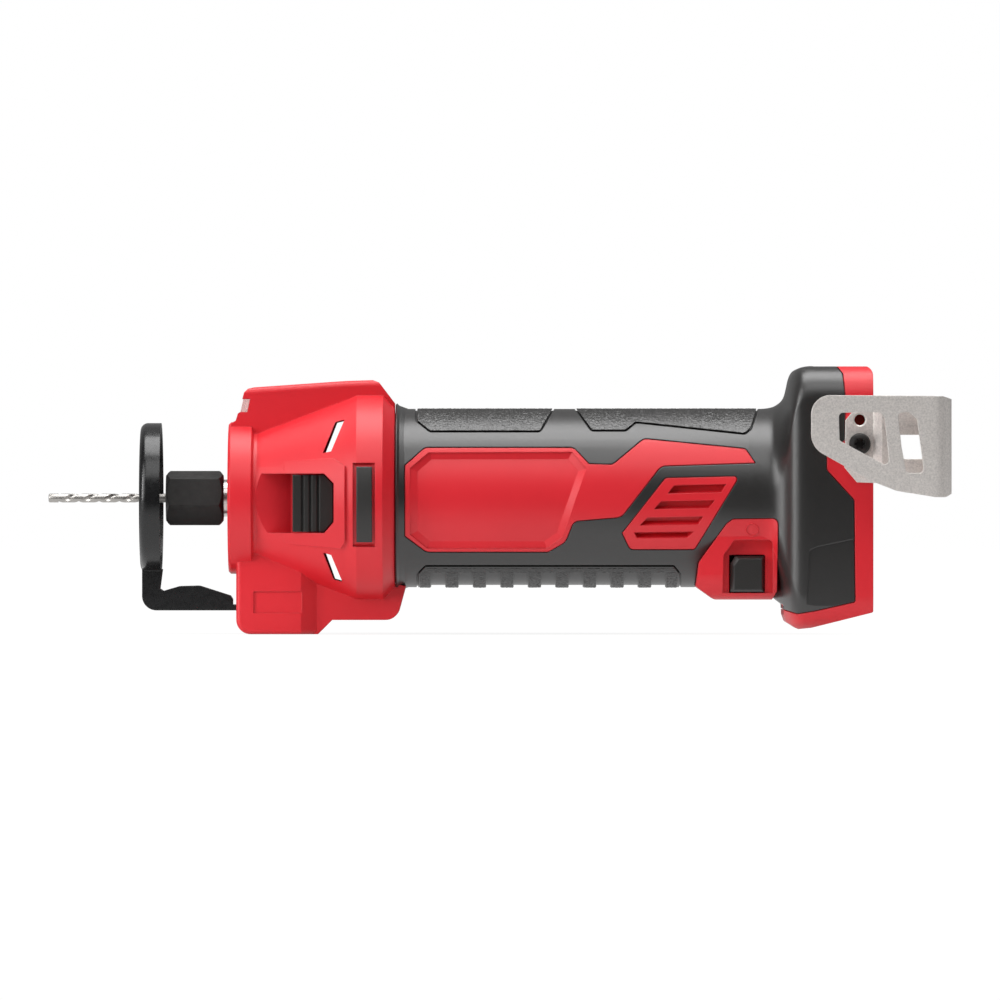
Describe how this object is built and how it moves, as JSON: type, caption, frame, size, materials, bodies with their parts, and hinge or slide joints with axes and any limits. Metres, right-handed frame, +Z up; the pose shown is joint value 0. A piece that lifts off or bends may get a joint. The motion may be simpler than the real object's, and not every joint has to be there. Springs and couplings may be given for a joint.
{
  "type": "drywall cut-out tool",
  "caption": "Inline battery drywall cut-out tool: vented red nose with spindle, collet and bit, sliding depth foot, black ribbed grip, battery bay and folded steel belt clip.",
  "frame": {"origin": "centre of the battery interface's rear face, on the spindle axis", "axes": "+X along the tool towards its rear (the bit points to -X), +Z up, -Y the side with the belt clip"},
  "size_m": [0.3232, 0.095, 0.0961],
  "materials": {
    "red_plastic": "satin moulded",
    "black_overmould": "satin soft-touch, finely pebbled on the pads",
    "black_rubber": "satin",
    "black_plastic": "satin moulded",
    "black_enamel": "high gloss",
    "blackened_steel": "satin oxide",
    "spindle_steel": "fine turned",
    "bit_steel": "ground",
    "bearing_steel": "polished",
    "motor_steel": "zinc plated",
    "clip_steel": "tumbled and plated",
    "magnet_ferrite": "matt",
    "carbon": "matt",
    "brass": "machined",
    "copper": "drawn",
    "clear_lens": "clear moulded",
    "circuit_board": "solder mask"
  },
  "bodies": {
    "housing": {"left_housing": "red_plastic", "right_housing": "red_plastic", "left_grip": "black_overmould", "right_grip": "black_overmould", "housing_screws": "blackened_steel", "nose_housing": "red_plastic", "left_side_pad": "black_rubber", "right_side_pad": "black_rubber", "led_lens": "clear_lens", "led_board": "circuit_board", "motor_can": "motor_steel", "magnets": "magnet_ferrite", "motor_end_bell": "black_plastic", "brush_holders": "brass", "carbon_brushes": "carbon", "front_bearing": "bearing_steel", "rear_bearing": "bearing_steel", "terminal_block": "black_plastic", "battery_terminals": "copper", "control_board": "circuit_board", "motor_controller": "black_plastic", "capacitor": "black_plastic", "switch_body": "black_plastic", "belt_clip": "clip_steel", "belt_clip_screw": "blackened_steel", "clip_inserts": "brass", "lock_lever_pin": "bearing_steel"},
    "spindle": {"armature_shaft": "spindle_steel", "rotor_core": "motor_steel", "windings": "copper", "commutator": "copper", "cooling_fan": "black_plastic", "spindle_lock_collar": "spindle_steel", "collet": "spindle_steel", "collet_nut": "blackened_steel", "cutting_bit": "bit_steel"},
    "depth_guide": {"depth_guide": "black_enamel"},
    "depth_lock_lever": {"depth_lock_lever": "black_plastic"},
    "spindle_lock": {"spindle_lock_button": "black_plastic", "spindle_lock_pin": "bearing_steel"},
    "power_switch": {"power_button": "black_plastic"}
  },
  "joints": [
    {"name": "spindle_spin", "type": "hinge", "parent": "housing", "child": "spindle", "pos_m": [-0.2126, 0, 0], "axis": [1, 0, 0], "continuous": true},
    {"name": "depth_guide_slide", "type": "slide", "parent": "housing", "child": "depth_guide", "axis": [-1, 0, 0], "range_m": [0, 0.022]},
    {"name": "depth_lock", "type": "hinge", "parent": "housing", "child": "depth_lock_lever", "pos_m": [-0.22, 0.0111, -0.0395], "axis": [0, 0, 1], "range_deg": [0, 90]},
    {"name": "spindle_lock_press", "type": "slide", "parent": "housing", "child": "spindle_lock", "axis": [0, 1, 0], "range_m": [0, 0.0035], "stiffness_N_per_m": 900, "springref_m": -0.002},
    {"name": "power_switch_slide", "type": "slide", "parent": "housing", "child": "power_switch", "axis": [0, -1, 0], "range_m": [0, 0.004]}
  ]
}
